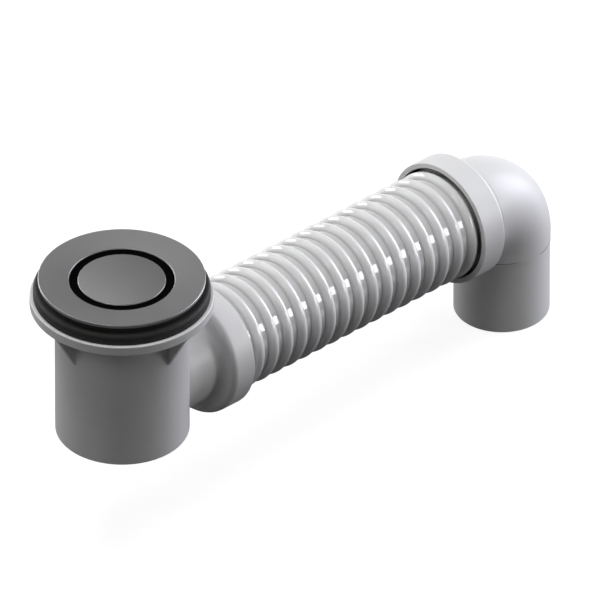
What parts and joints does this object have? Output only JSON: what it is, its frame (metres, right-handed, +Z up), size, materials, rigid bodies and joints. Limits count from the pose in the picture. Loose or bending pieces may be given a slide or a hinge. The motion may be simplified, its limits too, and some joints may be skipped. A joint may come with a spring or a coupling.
{
  "type": "bath pop-up waste",
  "caption": "Bath pop-up waste: metal flange with a push-to-open plug, plastic body, ribbed flexible hose and elbow with a plain spigot.",
  "frame": {"origin": "on the waste's axis, at the underside of the metal flange, where it seats on the bath", "axes": "+Z up along the waste's axis, out of the bath; +X towards the elbow, along the hose seen from above"},
  "size_m": [0.2845, 0.077, 0.1269],
  "materials": {
    "satin_metal": "satin",
    "black_rubber": "matte",
    "grey_plastic": "satin",
    "hose_plastic": "gloss",
    "dark_plastic": "matte",
    "white_plastic": "satin",
    "cream_plastic": "satin",
    "steel": "plain",
    "brass": "plain"
  },
  "bodies": {
    "waste": {"waste_flange": "satin_metal", "flange_seal": "black_rubber", "bath_washer": "black_rubber", "outlet_body": "grey_plastic", "outlet_hose": "hose_plastic", "outlet_elbow": "grey_plastic", "return_spring": "steel", "spring_seat": "steel", "click_barrel": "white_plastic", "barrel_cap": "dark_plastic", "wiper_ring": "black_rubber", "fixing_screw": "brass", "nut_washer": "brass", "lock_nut": "brass"},
    "plug": {"plug_cap": "satin_metal", "plug_seal": "black_rubber", "seal_carrier": "dark_plastic", "cap_stud": "steel", "plunger": "white_plastic"},
    "rotor": {"cam_rotor": "cream_plastic"}
  },
  "joints": [
    {"name": "plug_lift", "type": "slide", "parent": "waste", "child": "plug", "axis": [0, 0, 1], "range_m": [-0.0015, 0.009], "deforming": ["return_spring"]},
    {"name": "rotor_turn", "type": "hinge", "parent": "plug", "child": "rotor", "pos_m": [0, 0, -0.0247], "axis": [0, 0, 1], "continuous": true}
  ]
}
